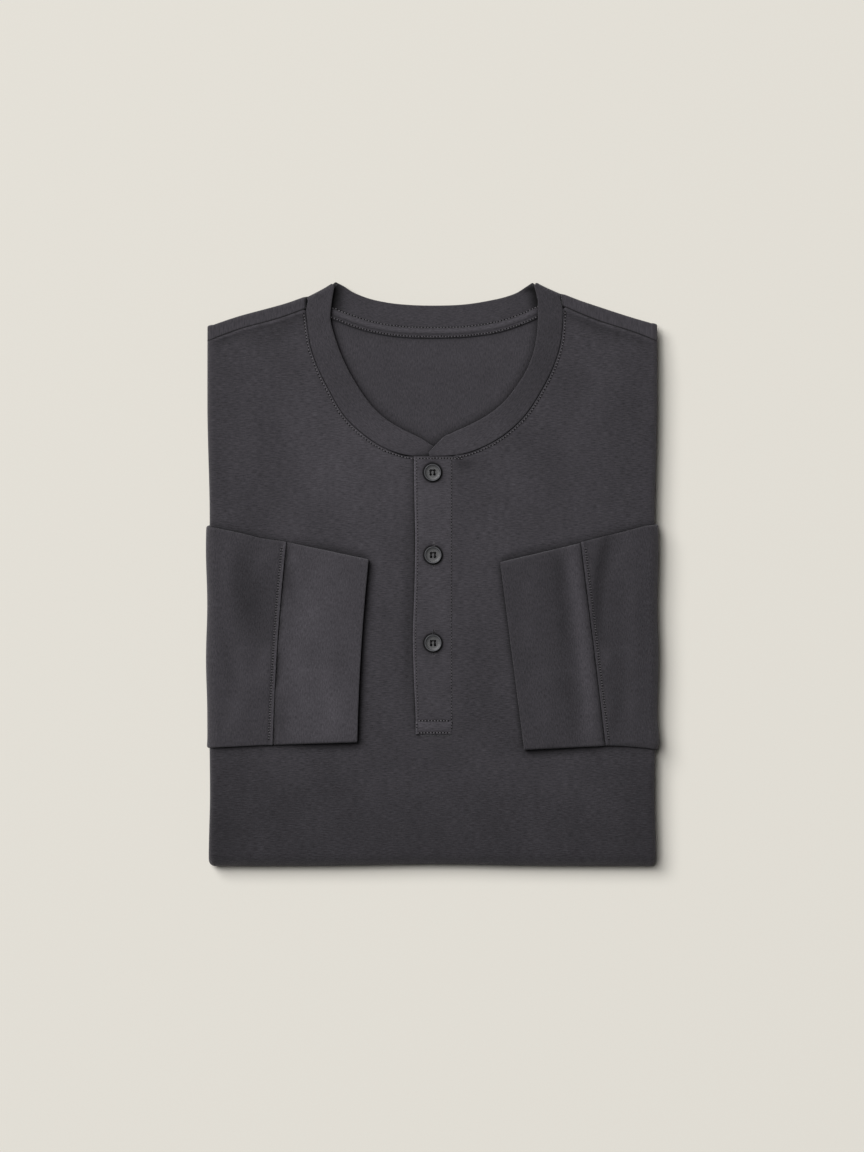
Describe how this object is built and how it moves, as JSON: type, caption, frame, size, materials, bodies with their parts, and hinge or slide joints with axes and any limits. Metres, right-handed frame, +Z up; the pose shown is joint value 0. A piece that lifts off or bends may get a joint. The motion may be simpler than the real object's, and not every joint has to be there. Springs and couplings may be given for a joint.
{
  "type": "folded henley shirt",
  "caption": "Long-sleeved henley shirt in plain dark knit, folded into a flat stack with its buttoned placket on top and both cuffs laid on the front.",
  "frame": {"origin": "middle of the folded outline, on the surface the shirt lies on", "axes": "+Z up from the surface, +Y towards the neck, +X across the shirt towards the viewer's right when it is seen from above with the neck at the top"},
  "size_m": [0.2954, 0.3793, 0.0218],
  "materials": {
    "knit": "plain charcoal cotton jersey, matt with a faint nap",
    "button": "dark grey moulded resin, satin with a brighter rim"
  },
  "bodies": {
    "root": {"front_panel": "knit", "back_panel": "knit", "hidden_layers": "knit", "neckband": "knit", "neck_tape": "knit", "placket": "knit", "under_placket": "knit", "sleeve_left": "knit", "sleeve_right": "knit", "cuff_left": "knit", "cuff_right": "knit", "button_1": "button", "button_2": "button", "button_3": "button"}
  },
  "joints": []
}
